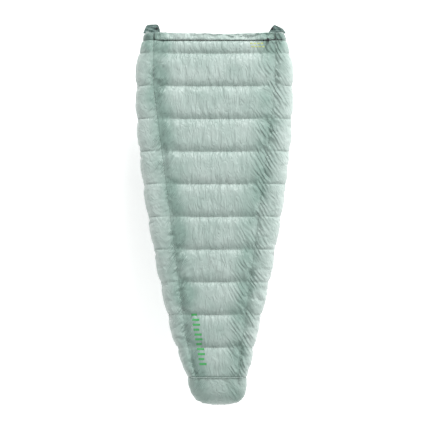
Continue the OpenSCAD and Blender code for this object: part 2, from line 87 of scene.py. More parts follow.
# Gap between two faces at a free edge, length over which an open end closes, and length of a chamber
# that puffs up fully, in metres
EDGE_GAP = 0.001
CLOSING = 0.03
FULL_PUFF = 0.12

# Colours, as the cloth looks in even light
SAGE = (0.36, 0.465, 0.425)
SLATE = (0.115, 0.185, 0.168)
# Painted shade: the shell colour darkened most of the way to the lining colour, for the neck corners where
# the cloth falls into shade
PAINTED_CORNER_SHADE = tuple(0.45 * a + 0.55 * b for a, b in zip(SAGE, SLATE))
TAPE_GREY = (0.30, 0.38, 0.35)
THREAD = (0.40, 0.50, 0.455)
# Range of the cloth's colour: both the random drift and the painted shade and painted highlight move within
# it
DEEPER = (0.58, 0.67, 0.64)
PALER = (1.28, 1.16, 1.20)
GREEN = (0.050, 0.34, 0.09)
LIME = (0.40, 0.46, 0.15)
CORD_BLACK = (0.022, 0.023, 0.026)
PLASTIC_BLACK = (0.014, 0.014, 0.016)
WIRE_GREY = (0.72, 0.73, 0.75)


# ---- Curves of the quilt, read from the frame ----

def node_points(name):
    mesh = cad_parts[name].data
    points = np.zeros(len(mesh.vertices) * 3)
    mesh.vertices.foreach_get("co", points)
    return points.reshape(-1, 3)


def curve_along_y(name, pick):
    points = node_points(name)
    ys = np.unique(np.round(points[:, 1], 4))
    return ys, np.array([pick(points[np.abs(points[:, 1] - y) < 2e-4]) for y in ys])


def line_at(ys, xs, y):
    """Value of a curve at y, carried on straight past its ends."""
    if y < ys[0]:
        return xs[0] + (xs[1] - xs[0]) * (y - ys[0]) / (ys[1] - ys[0])
    if y > ys[-1]:
        return xs[-1] + (xs[-1] - xs[-2]) * (y - ys[-1]) / (ys[-1] - ys[-2])
    return float(np.interp(y, ys, xs))


def seam_places():
    walls = np.unique(np.round(node_points("cross_baffles_centre")[:, 1], 4))
    low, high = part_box("top_shell_centre")
    inner = [(walls[i] + walls[i + 1]) / 2 for i in range(0, len(walls), 2)]
    return [low.y] + inner + [high.y]


def outline_crowns():
    """The outline over the chambers only: every third place of the CAD outline is a seam's notch."""
    ys, xs = curve_along_y("top_shell_right", lambda q: q[:, 0].max())
    crowns = np.arange(len(ys)) % 3 != 0
    return ys[crowns], xs[crowns]


# Each is a function of y, on the right side of the quilt
half_width = partial(line_at, *outline_crowns())
long_seam = partial(line_at, *curve_along_y("long_baffle_right", lambda q: q[:, 0].mean()))
fold_line = partial(line_at, *curve_along_y("top_shell_right", lambda q: q[q[:, 2] < 0.05][:, 0].min()))
free_edge = partial(line_at, *curve_along_y("flap_shell_right", lambda q: q[:, 0].min()))

SEAMS = seam_places()
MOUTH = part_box("mouth_binding")[0].y
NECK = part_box("top_shell_right")[1].y
FLAP_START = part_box("flap_shell_right")[0].y
FLAP_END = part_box("flap_shell_right")[1].y
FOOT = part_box("foot_end_shell")[0].y
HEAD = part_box("ear_tab_right")[1].y

# Share of its full puff that the cloth has before the simulation
START = 0.6


def eased(t):
    """Smooth step from 0 to 1."""
    return t * t * (3 - 2 * t)


def rows_between(places, step):
    """Rows along a run of chambers, as (y, how far the chamber is puffed up), with the seam rows' numbers."""
    rows = []
    seam_rows = []
    for a, b in zip(places[:-1], places[1:]):
        count = max(4, round((b - a) / step))
        seam_rows.append(len(rows))
        puff = min(1.0, (b - a) / FULL_PUFF)
        rows += [(a + (b - a) * i / count, puff * math.sin(math.pi * i / count) ** 0.6 if i else 0.0)
                 for i in range(count)]
    seam_rows.append(len(rows))
    rows.append((places[-1], 0.0))
    return rows, seam_rows


def spread(path, count):
    """The same path with count + 1 points at even spacing."""
    path = np.asarray(path, float)
    lengths = np.r_[0, np.cumsum(np.hypot(*np.diff(path, axis=0).T))]
    at = np.linspace(0, lengths[-1], count + 1)
    return np.column_stack([np.interp(at, lengths, path[:, 0]), np.interp(at, lengths, path[:, 1])])


def row_at(xs, y, zs):
    """A grid's row of points at y, which is one value or a value for each point."""
    return np.column_stack([xs, np.full(len(xs), y), zs])


# ---- Sections: paths of [x, z] from the middle to the right ----

def centre_path(y, c, seam_z, rise):
    """From the middle to the long seam; c is how far the chamber is puffed up, from 0 to 1."""
    half = long_seam(y)
    u = np.linspace(0, 1, 60)
    return np.column_stack([half * u, seam_z + rise * c * (1 - u ** 3)])


def roll_sizes(y, c):
    """Middle, half width and half height of the rolled edge, then the long seam and the fold line."""
    wide = half_width(y)
    seam = long_seam(y)
    fold = fold_line(y)
    least = 0.012
    rx = min(MID_Z, wide - fold - least, wide - seam - least)
    rz = MID_Z - 0.017 * (1 - c)
    notch = 0.012 * min(1.0, max(0.3, (y + 0.55) / 0.8))
    return wide - notch * (1 - c) - rx, rx, rz, seam, fold


def side_path(y, c):
    """Outer shell from the long seam over the rolled edge and back to the fold line."""
    roll_x, rx, rz, seam, fold = roll_sizes(y, c)
    low = REST_Z if y < MOUTH else FOLD_LOW_Z
    t = np.linspace(0, 1, 40)
    a = np.linspace(0, math.pi, 80)[1:]
    u = np.linspace(0, 1, 30)[1:]
    xs = np.r_[seam + (roll_x - seam) * t, roll_x + rx * np.sin(a), roll_x + (fold - roll_x) * u]
    zs = np.r_[SEAM_Z + (MID_Z + rz - SEAM_Z) * (1 - (1 - t) ** 2), MID_Z + rz * np.cos(a),
               MID_Z - rz + (low - MID_Z + rz) * u ** 2]
    return np.column_stack([xs, zs])


def inner_side_path(y, c):
    """Lining from the long seam round the inner fold and back to the fold line."""
    seam = long_seam(y)
    fold = fold_line(y)
    wide = half_width(y)
    inner = wide - min(0.040, wide - fold - 0.022)
    gap = 0.007 + 0.006 * (1 - c)
    turn_r = 0.010
    turn_x = inner - turn_r
    start = np.array([seam, LINING_SEAM_Z])
    t = np.linspace(0, 1, 20)[:, None]
    a = np.linspace(0, math.pi, 20)[1:]
    top = start + (np.array([turn_x, MID_Z + gap]) - start) * t
    turn = np.column_stack([turn_x + turn_r * np.sin(a), MID_Z + gap * np.cos(a)])
    t = t[1:]
    low_start = np.array([turn_x, MID_Z - gap])
    low = low_start + (np.array([fold, FOLD_HIGH_Z]) - low_start) * t
    return np.vstack([top, turn, low])


def full_width(paths):
    """Mirrors a half path onto the left, so that it runs from the left end to the right end."""
    half = np.vstack([paths[0], paths[1][1:]])
    return np.vstack([half[::-1] * [-1, 1], half[1:]])


def top_grid(step, centre_cells, side_cells, outer):
    """The whole top layer, from one fold line to the other: its shell, or its lining."""
    rows, seam_rows = rows_between(SEAMS + [NECK], step)
    grid = np.zeros((len(rows), 2 * (centre_cells + side_cells) + 1, 3))
    for i, (y, c) in enumerate(rows):
        if outer:
            paths = [centre_path(y, c * START, SEAM_Z, CROWN_RISE), side_path(y, c * START)]
        else:
            paths = [centre_path(y, c * START, LINING_SEAM_Z, LINING_CROWN_Z - LINING_SEAM_Z),
                     inner_side_path(y, c * START)]
        path = full_width([spread(paths[0], centre_cells), spread(paths[1], side_cells)])
        grid[i] = row_at(path[:, 0], y, path[:, 1])
    return grid, seam_rows


def flap_grid(side, outer):
    """One face of a flap, from its fold line to its free edge. side is 1 on the right and -1 on the left."""
    places = [FLAP_START] + [s for s in SEAMS if s > MOUTH + 0.05] + [FLAP_END]
    rows, seam_rows = rows_between(places, FLAP_GRID)
    cells = round((fold_line(FLAP_START) - free_edge(FLAP_START)) / FLAP_GRID)
    grid = np.zeros((len(rows), cells + 1, 3))
    u = np.linspace(0, 1, cells + 1)
    for i, (y, c) in enumerate(rows):
        fold = fold_line(y)
        edge = free_edge(y) + EDGE_GAP
        crown = (1 - np.abs(2 * u - 1) ** 3) * c * START
        ends = min(1.0, min(y - FLAP_START, FLAP_END - y) / CLOSING) ** 0.5
        if outer:
            seam = FOLD_LOW_Z * (1 - u) + (EDGE_Z - EDGE_GAP) * u ** 3 + 0.010 * u * (1 - u)
            z = seam - 0.011 * crown
        else:
            seam = FOLD_HIGH_Z * (1 - u) + (EDGE_Z + EDGE_GAP) * u + 0.056 * u * (1 - u)
            z = seam + 0.008 * crown
        grid[i] = row_at(side * (fold + (edge - fold) * u), y, EDGE_Z + (z - EDGE_Z) * ends)
    return grid, seam_rows


def under_grid(outer):
    """Footbox underside: its outer face lies on the floor and its inner face is crowned."""
    places = [s for s in SEAMS if s < MOUTH + 0.02]
    places[-1] = MOUTH
    rows, seam_rows = rows_between(places, LINING_GRID)
    cells = 36
    closed_z = 0.016
    grid = np.zeros((len(rows), 2 * cells + 1, 3))
    u = np.linspace(-1, 1, 2 * cells + 1)
    for i, (y, c) in enumerate(rows):
        ends = min(1.0, (MOUTH - y) / CLOSING) ** 0.5
        crown = (1 - np.abs(u) ** 4) * c * START
        if outer:
            z = 0.008 * (1 - c * START) * (1 - np.abs(u) ** 6) + REST_Z
        else:
            z = 0.032 + 0.024 * crown
        grid[i] = row_at(u * fold_line(y), y, closed_z + (z - closed_z) * ends)
    return grid, seam_rows


# ---- Cloth ----

def linked(name, data):
    """New object in the scene."""
    obj = bpy.data.objects.new(name, data)
    bpy.context.scene.collection.objects.link(obj)
    return obj


def grid_faces(rows, columns, flip):
    index = np.arange(rows * columns).reshape(rows, columns)
    corners = [index[:-1, :-1], index[:-1, 1:], index[1:, 1:], index[1:, :-1]]
    if flip:
        corners.reverse()
    return np.stack(corners, -1).reshape(-1, 4)


def smooth_noise(seed, count, step):
    """Random values along a line, smoothed over step samples, between about -1 and 1."""
    rng = np.random.default_rng(seed)
    knots = rng.uniform(-1, 1, int(count / step) + 3)
    at = np.arange(count) / step
    return np.interp(at, np.arange(len(knots)), knots)


class Sheet:
    """A grid of cloth, with the rows and columns where it is sewn down.

    Each point also has a looseness for the simulation, a painted light tone (painted shade and painted
    highlight) and a slant for the material.
    """

    def __init__(self, name, grid, seam_rows, seam_columns, flip, seed):
        self.name = name
        self.grid = grid
        self.flip = flip
        self.rows, self.columns = grid.shape[:2]
        self.sewn = np.zeros((self.rows, self.columns), bool)
        self.sewn[seam_rows, :] = True
        self.sewn[:, seam_columns] = True
        self.loose = np.zeros((self.rows, self.columns))
        self.tone = np.full((self.rows, self.columns), 0.5)
        self.slant = np.zeros((self.rows, self.columns))
        self.seed = seed
        self.object = None

    def jitter(self, size):
        """Uneven heights that let the cloth settle into folds."""
        rng = np.random.default_rng(self.seed)
        noise = rng.normal(0, size, (self.rows, self.columns))
        self.grid[:, :, 2] += noise * ~self.sewn

    def start_cloth(self, pressure, grow, extra=0.0, bending=1.0):
        """Sets up the simulation: the cloth grows by a share, and by extra more where it is loose."""
        mesh = bpy.data.meshes.new(self.name + "_cloth")
        faces = grid_faces(self.rows, self.columns, self.flip)
        mesh.from_pydata(self.grid.reshape(-1, 3).tolist(), [], faces.tolist())
        self.object = linked(self.name + "_cloth", mesh)
        pins = self.object.vertex_groups.new(name="sewn")
        pins.add(np.nonzero(self.sewn.ravel())[0].tolist(), 1.0, "REPLACE")
        loose = self.object.vertex_groups.new(name="loose")
        steps = 8
        levels = np.round(self.loose.ravel() * steps).astype(int)
        for level in range(1, steps + 1):
            loose.add(np.nonzero(levels == level)[0].tolist(), level / steps, "REPLACE")
        modifier = self.object.modifiers.new("Cloth", "CLOTH")
        settings = modifier.settings
        settings.vertex_group_mass = "sewn"
        settings.vertex_group_shrink = "loose"
        settings.shrink_min = -grow
        settings.shrink_max = -grow - extra
        settings.quality = 5
        settings.mass = 0.003
        settings.air_damping = 1.0
        settings.tension_stiffness = 15
        settings.compression_stiffness = 15
        settings.shear_stiffness = 5
        settings.bending_stiffness = bending
        settings.use_pressure = True
        settings.uniform_pressure_force = pressure
        settings.effector_weights.gravity = 0
        modifier.collision_settings.use_collision = False

    def finish_cloth(self, reach):
        """Takes the simulated shape, no further than reach from where it started."""
        shape = self.object.evaluated_get(bpy.context.evaluated_depsgraph_get()).data
        points = np.zeros(self.rows * self.columns * 3)
        shape.vertices.foreach_get("co", points)
        moved = points.reshape(self.rows, self.columns, 3) - self.grid
        length = np.linalg.norm(moved, axis=2, keepdims=True)
        self.grid = self.grid + moved * np.minimum(1, reach / np.maximum(length, 1e-9))
        mesh = self.object.data
        bpy.data.objects.remove(self.object)
        bpy.data.meshes.remove(mesh)

    def smooth(self, share):
        """Eases each loose point a little towards its neighbours."""
        g = self.grid
        mean = g.copy()
        mean[1:-1, 1:-1] = (g[:-2, 1:-1] + g[2:, 1:-1] + g[1:-1, :-2] + g[1:-1, 2:]) / 4
        self.grid = np.where(self.sewn[:, :, None], g, g + (mean - g) * share)

    def crease(self, height, seam_rows):
        """Lifts the cloth along its normals by a height for each point, fading out at the cross seams."""
        fade = np.ones(self.rows)
        for row in seam_rows:
            for step, share in ((0, 0.15), (1, 0.7)):
                for near in (row - step, row + step):
                    if 0 <= near < self.rows:
                        fade[near] = min(fade[near], share)
        height = height * fade[:, None]
        height[:, [0, -1]] = 0
        self.lift(height)

    def lift(self, height):
        """Moves each point along its normal by its own height."""
        self.grid = self.grid + self.normals() * height[:, :, None]

    def soften(self, columns, seam_rows, beside):
        """Fills part of the grooves of the long seams, and of the cross seams' ends beside them."""
        z = self.grid[:, :, 2]
        filled = z.copy()
        reach = 4
        for column in columns:
            banks = (z[:, column - reach] + z[:, column + reach]) / 2
            for step in range(-reach + 1, reach):
                share = 0.62 * (1 - abs(step) / reach)
                filled[:, column + step] += share * (banks - z[:, column + step])
        z[:] = filled
        for row in seam_rows[1:-2]:
            banks = (z[row - 3] + z[row + 3]) / 2
            for step in (-2, -1, 0, 1, 2):
                share = 0.55 * (1 - abs(step) / 3) * beside[row + step]
                filled[row + step] += share * (banks - z[row + step])
        self.grid[:, :, 2] = filled

    def normals(self):
        along = np.gradient(self.grid, axis=0)
        across = np.gradient(self.grid, axis=1)
        normal = np.cross(across, along)
        if self.flip:
            normal = -normal
        return normal / np.maximum(np.linalg.norm(normal, axis=2, keepdims=True), 1e-12)


def simulate(sheets, frames, reach):
    for number in range(1, frames + 1):
        bpy.context.scene.frame_set(number)
    for sheet in sheets:
        sheet.finish_cloth(reach)
    bpy.context.scene.frame_set(1)


# ---- Meshes ----

def add_object(name, points, faces, material, body=None, smooth=True):
    mesh = bpy.data.meshes.new(name)
    mesh.from_pydata(np.asarray(points).reshape(-1, 3).tolist(), [], [list(f) for f in faces])
    mesh.validate()
    mesh.update()
    mesh.polygons.foreach_set("use_smooth", [smooth] * len(mesh.polygons))
    mesh.materials.append(material)
    obj = linked(name, mesh)
    if body:
        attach(obj, body)
    return obj


def closed_sheet(name, front, back, flip, material, body=None):
    """Closed piece between two grids of the same size: both of them, and a rim round the edge."""
    rows, columns = front.shape[:2]
    count = rows * columns
    near = grid_faces(rows, columns, flip)
    far = near[:, ::-1] + count
    index = np.arange(count).reshape(rows, columns)
    loop = np.concatenate([index[0, :-1], index[:-1, -1], index[-1, :0:-1], index[:0:-1, 0]])
    after = np.roll(loop, -1)
    rim = np.stack([after, loop, loop + count, after + count], -1)
    if flip:
        rim = rim[:, ::-1]
    points = np.concatenate([front.reshape(-1, 3), back.reshape(-1, 3)])
    faces = np.concatenate([near, far, rim])
    return add_object(name, points, faces.tolist(), material, body)


def cut_sheet(name, sheet, material, slot, body=None, rows=slice(None), columns=slice(None)):
    """Piece of a sheet, one thickness deep, with the sheet's painted light tone (painted shade and painted
    highlight) and slant for its material.
    """
    grid = sheet.grid[rows, columns]
    behind = grid - sheet.normals()[rows, columns] * SHEET_T
    piece = closed_sheet(name, grid, behind, sheet.flip, material, body)
    for label, values in (("tone", sheet.tone), ("slant", sheet.slant)):
        chosen = values[rows, columns].ravel()
        attribute = piece.data.attributes.new(label, "FLOAT", "POINT")
        attribute.data.foreach_set("value", np.concatenate([chosen, chosen]))
    return piece


def swept_strip(name, path, across, up, material, body=None):
    """Closed rounded strip along a path; across and up are its half sizes."""
    path = np.asarray(path, float)
    along = np.gradient(path, axis=0)
    along /= np.linalg.norm(along, axis=1, keepdims=True)
    side = np.cross(along, [0, 0, 1.0])
    side /= np.maximum(np.linalg.norm(side, axis=1, keepdims=True), 1e-9)
    top = np.cross(side, along)
    turns = [math.radians(a) for a in range(0, 360, 45)]
    ring = [(math.cos(a), math.sin(a)) for a in turns]
    shaped = [(abs(c) ** 0.6 * math.copysign(1, c), abs(s) ** 0.6 * math.copysign(1, s)) for c, s in ring]
    points = np.stack([path + side * across * c + top * up * s for c, s in shaped], 1)
    index = np.arange(len(path) * len(shaped)).reshape(len(path), len(shaped))
    after = np.roll(index, -1, axis=1)
    faces = np.stack([index[:-1], after[:-1], after[1:], index[1:]], -1).reshape(-1, 4).tolist()
    faces.append(index[0, ::-1].tolist())
    faces.append(index[-1].tolist())
    return add_object(name, points, faces, material, body)


# ---- Materials ----

def set_inputs(node, values):
    for key, value in values.items():
        node.inputs[key].default_value = value


class Paint:
    """Short names for building a material's nodes."""

    def __init__(self, name, color, roughness):
        self.material = bpy.data.materials.new(name)
        self.material.use_nodes = True
        self.tree = self.material.node_tree
        self.shader = self.tree.nodes["Principled BSDF"]
        set_inputs(self.shader, {"Base Color": (*color, 1), "Roughness": roughness})
        self.place = self.node("ShaderNodeTexCoord").outputs["Object"]
        self.bumps = None

    def node(self, kind, values=None, **settings):
        made = self.tree.nodes.new(kind)
        for key, value in settings.items():
            setattr(made, key, value)
        set_inputs(made, values or {})
        return made

    def attribute(self, name):
        return self.node("ShaderNodeAttribute", attribute_name=name).outputs["Fac"]

    def link(self, source, target):
        self.tree.links.new(source, target)

    def stretched(self, scale, turn=0.0):
        values = {"Scale": tuple(1 / part for part in scale), "Rotation": (0, 0, turn)}
        mapping = self.node("ShaderNodeMapping", values, vector_type="TEXTURE")
        self.link(self.place, mapping.inputs["Vector"])
        return mapping.outputs["Vector"]

    def noise(self, scale, detail, place, distortion=0.0):
        made = self.node("ShaderNodeTexNoise", {"Scale": scale, "Detail": detail, "Distortion": distortion})
        self.link(place, made.inputs["Vector"])
        return made.outputs["Fac"]

    def math(self, operation, a, b=0.0):
        made = self.node("ShaderNodeMath", operation=operation)
        for socket, value in zip(made.inputs, (a, b)):
            if isinstance(value, (int, float)):
                socket.default_value = value
            else:
                self.link(value, socket)
        return made.outputs[0]

    def ramp(self, value, low, high):
        made = self.node("ShaderNodeMapRange", {"From Min": low, "From Max": high})
        self.link(value, made.inputs["Value"])
        return made.outputs["Result"]

    def bump(self, height, strength, distance):
        made = self.node("ShaderNodeBump", {"Strength": strength, "Distance": distance})
        self.link(height, made.inputs["Height"])
        if self.bumps is not None:
            self.link(self.bumps, made.inputs["Normal"])
        self.bumps = made.outputs["Normal"]
        self.link(self.bumps, self.shader.inputs["Normal"])

    def tint(self, factor, first, second):
        made = self.node("ShaderNodeMix", {"A": (*first, 1), "B": (*second, 1)}, data_type="RGBA")
        self.link(factor, made.inputs["Factor"])
        self.link(made.outputs["Result"], self.shader.inputs["Base Color"])

    def creases(self, stretch, turn):
        """Height of fine creases, drawn out along one direction."""
        noise = self.noise(34, 2, self.stretched(stretch, turn), 0.6)
        return self.ramp(self.math("ABSOLUTE", self.math("SUBTRACT", noise, 0.5)), 0.0, 0.16)

    def pleats(self, turn):
        """Height of short parallel creases, in patches."""
        values = {"Scale": 17, "Distortion": 5.0, "Detail": 1, "Detail Scale": 1.3}
        wave = self.node("ShaderNodeTexWave", values, wave_type="BANDS", bands_direction="X")
        self.link(self.stretched((1.0, 0.4, 1.0), turn), wave.inputs["Vector"])
        patches = self.ramp(self.noise(14, 1, self.place), 0.40, 0.58)
        fine = self.math("MULTIPLY", self.creases((1.3, 0.5, 1.0), turn), 0.4)
        return self.math("ADD", self.math("MULTIPLY", wave.outputs["Fac"], patches), fine)

    def threads(self, pitch, width):
        """Height of a square net of raised threads, as in ripstop cloth."""
        split = self.node("ShaderNodeSeparateXYZ")
        self.link(self.place, split.inputs[0])
        lines = []
        for axis in (0, 1):
            part = self.math("FRACT", self.math("DIVIDE", split.outputs[axis], pitch))
            off = self.math("ABSOLUTE", self.math("SUBTRACT", part, 0.5))
            lines.append(self.math("GREATER_THAN", off, 0.5 - width / pitch / 2))
        return self.math("MAXIMUM", lines[0], lines[1])


def multiplied(color, factors):
    return tuple(min(1.0, a * b) for a, b in zip(color, factors))


def scaled(color, factor):
    return multiplied(color, (factor, factor, factor))


def cloth_material(name, color, stretch=(1.0, 1.0, 1.0), turn=0.0, roughness=0.42, sheen=0.5, shaded=True):
    """Silky ripstop: the colour drifts slowly at random, with fine creases, a thread net and a soft sheen.

    Where shaded, the mesh's painted light tone deepens or pales the colour as painted shade and painted
    highlight, and its slant leans the creases to one side.
    """
    paint = Paint(name, color, roughness)
    set_inputs(paint.shader, {"Sheen Weight": sheen, "Sheen Roughness": 0.35, "Specular IOR Level": 0.55})
    drift = paint.math("MULTIPLY", paint.math("SUBTRACT", paint.noise(9, 3, paint.place), 0.5), 0.9)
    # Painted shade and painted highlight: the mesh's painted light tone, plus a random drift, picks the
    # colour between deeper and paler
    tone = paint.math("ADD", drift, paint.attribute("tone") if shaded else 0.5)
    paint.tint(tone, multiplied(color, DEEPER), multiplied(color, PALER))
    ridges = paint.math("MULTIPLY", paint.creases(stretch, turn), 0.6)
    if shaded:
        slant = paint.attribute("slant")
        for way, angle in ((1, 0.55), (-1, -0.55)):
            share = paint.math("MAXIMUM", paint.math("MULTIPLY", slant, way), 0.0)
            change = paint.math("SUBTRACT", paint.pleats(angle), ridges)
            ridges = paint.math("ADD", ridges, paint.math("MULTIPLY", change, share))
    paint.bump(ridges, 1.0, 0.0042)
    paint.bump(paint.threads(0.005, 0.0005), 0.25, 0.0002)
    paint.bump(paint.noise(2600, 2, paint.place), 0.12, 0.0001)
    return paint.material


def tape_material(name, color):
    """Woven tape: narrow ribs and a dull finish."""
    paint = Paint(name, color, 0.7)
    set_inputs(paint.shader, {"Sheen Weight": 0.3})
    drift = paint.ramp(paint.noise(140, 3, paint.place), 0.3, 0.7)
    paint.tint(drift, scaled(color, 0.82), scaled(color, 1.15))
    paint.bump(paint.noise(900, 2, paint.stretched((1, 0.3, 1))), 0.5, 0.0004)
    return paint.material


def braid_material(name, color):
    """Braided cord or webbing: crossing ribs."""
    paint = Paint(name, color, 0.62)
    values = {"Scale": 260, "Distortion": 1.5}
    ribs = paint.node("ShaderNodeTexWave", values, wave_type="BANDS", bands_direction="DIAGONAL")
    paint.link(paint.place, ribs.inputs["Vector"])
    paint.tint(ribs.outputs["Fac"], scaled(color, 0.6), scaled(color, 1.9))
    paint.bump(ribs.outputs["Fac"], 0.6, 0.0004)
    return paint.material


def plastic_material(name, color):
    """Moulded plastic: fine grain, with slightly worn, shinier patches."""
    paint = Paint(name, color, 0.38)
    wear = paint.noise(180, 4, paint.place)
    paint.link(paint.ramp(wear, 0.1, 1.6), paint.shader.inputs["Roughness"])
    paint.tint(paint.ramp(wear, 0.35, 0.75), color, scaled(color, 1.8))
    paint.bump(paint.noise(1400, 2, paint.place), 0.15, 0.0002)
    return paint.material


def steel_material(name):
    """Drawn wire: fine lines along a bright metal."""
    paint = Paint(name, WIRE_GREY, 0.28)
    set_inputs(paint.shader, {"Metallic": 1.0})
    paint.bump(paint.noise(3000, 2, paint.stretched((1, 1, 0.1))), 0.2, 0.0001)
    return paint.material


CENTRE_CLOTH = cloth_material("shell_centre", SAGE, stretch=(1.5, 0.45, 1.0))
SIDE_CLOTH = cloth_material("shell_side", SAGE, stretch=(1.3, 0.6, 1.0), turn=0.6)
UNDER_CLOTH = cloth_material("shell_under", SAGE, sheen=0.3)
# Painted shade cloth for the neck corners and the neck ends
PAINTED_SHADE_CORNER_CLOTH = cloth_material("shell_corner_painted_shade", PAINTED_CORNER_SHADE)
LINING_CLOTH = cloth_material("lining", SLATE, stretch=(1.3, 0.6, 1.0), roughness=0.5, sheen=0.35,
                              shaded=False)
PIPING = cloth_material("shell_piping", scaled(SAGE, 1.1), shaded=False)
TAPE = tape_material("tape", TAPE_GREY)
DARK_TAPE = tape_material("hem_tape", scaled(SLATE, 0.8))
STITCH = tape_material("stitching", THREAD)
CORD = braid_material("cord", CORD_BLACK)
BLACK = plastic_material("black_plastic", PLASTIC_BLACK)
STEEL = steel_material("spring_steel")
GREEN_PRINT = tape_material("green_print", GREEN)
LIME_PRINT = tape_material("lime_print", LIME)


# ---- Sheets of the quilt ----

def seam_pull(sheet, columns, cell, reach):
    """Makes the cloth looser near sewn lines that run along the quilt, so that it puckers there."""
    at = np.arange(sheet.columns)
    near = np.zeros(sheet.columns)
    for column in columns:
        near = np.maximum(near, np.exp(-((at - column) * cell / reach) ** 2))
    strips = 4
    patchy = np.stack([0.65 + 0.35 * smooth_noise(sheet.seed + k, sheet.rows, 9) for k in range(strips)], 1)
    strip_of = np.minimum((at * strips) // sheet.columns, strips - 1)
    sheet.loose = near[None, :] * patchy[:, strip_of]


def make_top_shell():
    grid, seam_rows = top_grid(SHELL_GRID, CENTRE_CELLS, SIDE_CELLS, True)
    sheet = Sheet("top_shell", grid, seam_rows, SHELL_COLUMNS, False, 11)
    seam_pull(sheet, (LEFT, RIGHT), SHELL_GRID, reach=0.045)
    return sheet, seam_rows


def make_lining():
    grid, seam_rows = top_grid(LINING_GRID, LINING_CENTRE, LINING_SIDE, False)
    return Sheet("lining", grid, seam_rows, LINING_COLUMNS, True, 23), seam_rows


def make_flap(side, outer, seed):
    grid, seam_rows = flap_grid(side, outer)
    flip = (side > 0) != outer
    return Sheet("flap", grid, seam_rows, [0, grid.shape[1] - 1], flip, seed)


def make_under(outer, seed):
    grid, seam_rows = under_grid(outer)
    return Sheet("under", grid, seam_rows, [0, grid.shape[1] - 1], outer, seed)


def cap_sizes():
    """The foot cap's half width, underside and top along Y, read from the frame."""
    points = node_points("foot_end_shell")
    ys = np.unique(np.round(points[:, 1], 4))
    rings = [points[np.abs(points[:, 1] - y) < 2e-4] for y in ys]
    keep = [i for i, ring in enumerate(rings) if i == 0 or ring[:, 2].max() > rings[i - 1][:, 2].max()]
    return (ys[keep], np.array([rings[i][:, 0].max() for i in keep]),
            np.array([rings[i][:, 2].min() for i in keep]), np.array([rings[i][:, 2].max() for i in keep]))


def squarish_half(half, low, high):
    """Right half of a rounded box, from its top middle to its bottom middle."""
    a = np.linspace(math.pi / 2, -math.pi / 2, 60)
    power = 0.62
    xs = half * np.abs(np.cos(a)) ** power
    zs = (low + high) / 2 + (high - low) / 2 * np.sign(np.sin(a)) * np.abs(np.sin(a)) ** power
    return np.column_stack([xs, zs])


def make_foot_cap():
    """Foot end panel: it leaves the top layer's last seam and closes to a flat toe."""
    ys, halves, lows, highs = cap_sizes()
    ridge = SEAMS[0]
    cells = 46
    count = 24
    middle = 0.030
    top = np.vstack([centre_path(ridge, 0, SEAM_Z, 0), side_path(ridge, 0)[1:], [[0, REST_Z]]])
    first = spread(top, cells)
    grid = np.zeros((count + 1, 2 * cells + 1, 3))
    for i in range(count + 1):
        t = i / count
        y = ridge + (FOOT - ridge) * (1 - (1 - t) ** 1.5)
        closed = 1 - max(0.0, (t - 0.6) / 0.4) ** 2.5
        low = middle + (np.interp(y, ys, lows) - middle) * closed
        high = middle + (np.interp(y, ys, highs) - middle) * closed
        target = spread(squarish_half(np.interp(y, ys, halves), low, high), cells)
        path = first + (target - first) * eased(min(1.0, t / 0.35))
        full = np.vstack([path[::-1] * [-1, 1], path[1:]])
        grid[i] = row_at(full[:, 0], y, np.maximum(full[:, 1], REST_Z))
    return Sheet("foot_cap", grid, [0, count], [0, 2 * cells], True, 31)


def make_collar():
    """Flattened tube along the neck, whose open side is sewn to the last cross seam."""
    low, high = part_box("collar_shell")
    columns = round((high.x - low.x) / SHELL_GRID)
    xs = np.linspace(low.x, high.x, columns + 1)
    turns = np.linspace(0, 1, 19)
    grid = np.zeros((len(turns), columns + 1, 3))
    back = SEAMS[-1] + 0.003
    middle = (SEAM_Z + LINING_SEAM_Z) / 2
    for j, x in enumerate(xs):
        ends = min(1.0, (high.x - abs(x)) / 0.035) ** 0.5
        hollow = 0.0063 * (1 - (x / high.x) ** 2)
        depth = high.y - hollow - back
        for i, t in enumerate(turns):
            along = math.sin(math.pi * t) ** 0.55
            rise = -math.cos(math.pi * t)
            z = middle + ends * 0.018 * math.copysign(abs(rise) ** 0.7, rise)
            grid[i, j] = (x, back + depth * along, z)
    return Sheet("collar", grid, [0, len(turns) - 1], [0, columns], False, 41)


TOP, TOP_ROWS = make_top_shell()
LINING, LINING_ROWS = make_lining()
FLAPS = {(side, outer): make_flap(side, outer, 50 + 2 * side + outer)
         for side in (-1, 1) for outer in (True, False)}
UNDER_OUT = make_under(True, 61)
UNDER_IN = make_under(False, 62)
CAP = make_foot_cap()
COLLAR = make_collar()
SHEETS = [TOP, LINING, UNDER_OUT, UNDER_IN, CAP, COLLAR] + list(FLAPS.values())

for cloth_sheet in SHEETS:
    cloth_sheet.jitter(0.0006)
TOP.start_cloth(pressure=60, grow=0.05, extra=0.05)
LINING.start_cloth(pressure=25, grow=0.04)
UNDER_OUT.start_cloth(pressure=2, grow=0.01)
UNDER_IN.start_cloth(pressure=25, grow=0.04)
CAP.start_cloth(pressure=30, grow=0.05)
COLLAR.start_cloth(pressure=30, grow=0.07, bending=0.8)
for cloth_sheet in FLAPS.values():
    cloth_sheet.start_cloth(pressure=20, grow=0.035)
simulate(SHEETS, frames=12, reach=0.025)
for cloth_sheet in SHEETS:
    cloth_sheet.smooth(0.35)


# ---- Creases ----

def value_noise(seed, p, q):
    """Smooth random values between 0 and 1 over the plane (p, q), with features about one unit across."""
    rng = np.random.default_rng(seed)
    size = 97
    table = rng.uniform(0, 1, (size, size))
    i = np.floor(p).astype(int)
    j = np.floor(q).astype(int)
    a = eased(p - i)
    b = eased(q - j)
    i, i_next = i % size, (i + 1) % size
    j, j_next = j % size, (j + 1) % size
    low = table[i, j] * (1 - a) + table[i_next, j] * a
    high = table[i, j_next] * (1 - a) + table[i_next, j_next] * a
    return low * (1 - b) + high * b


